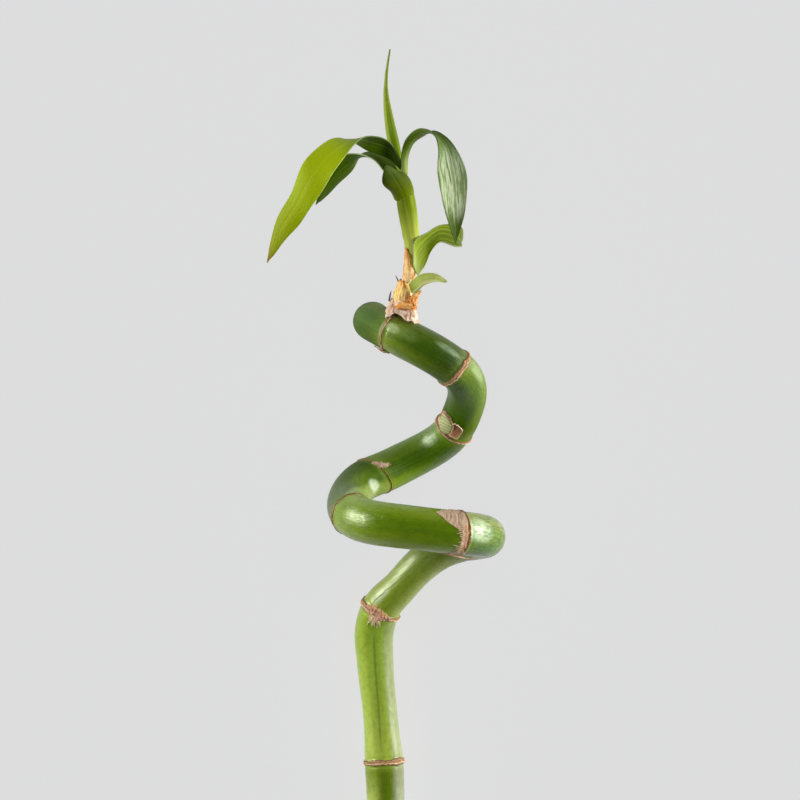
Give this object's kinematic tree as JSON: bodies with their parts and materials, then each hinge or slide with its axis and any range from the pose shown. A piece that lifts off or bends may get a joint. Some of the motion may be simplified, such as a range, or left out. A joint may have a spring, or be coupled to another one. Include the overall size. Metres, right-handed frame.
{
  "type": "lucky bamboo",
  "caption": "Cut lucky bamboo lying down: a ringed green cane grown in a spiral, with one leafy side shoot in dry husk scales near its upper end.",
  "frame": {"origin": "the small flat spot under the lower back bend of the spiral, on the surface the cane lies on", "axes": "+Y along the cane from its cut foot to the shoot, +Z away from the surface, +X to the right seen from above with +Y up"},
  "size_m": [0.0799, 0.3039, 0.0686],
  "materials": {
    "cane": "satin",
    "shoot": "satin",
    "leaf_light": "satin",
    "leaf_dark": "satin",
    "leaf_striped": "satin",
    "husk_pale": "matte",
    "husk_orange": "matte"
  },
  "bodies": {
    "root": {"cane": "cane", "bud_scale": "husk_pale", "shoot_stem": "shoot", "husk_collar": "husk_pale", "husk_scale": "husk_orange", "husk_flap": "husk_orange", "husk_sheath": "husk_orange", "leaf_small": "leaf_light", "leaf_lower_right": "leaf_striped", "leaf_front_hood": "leaf_dark", "leaf_right": "leaf_striped", "leaf_spear": "leaf_light", "leaf_left_front": "leaf_light", "leaf_left_back": "leaf_dark"}
  },
  "joints": []
}
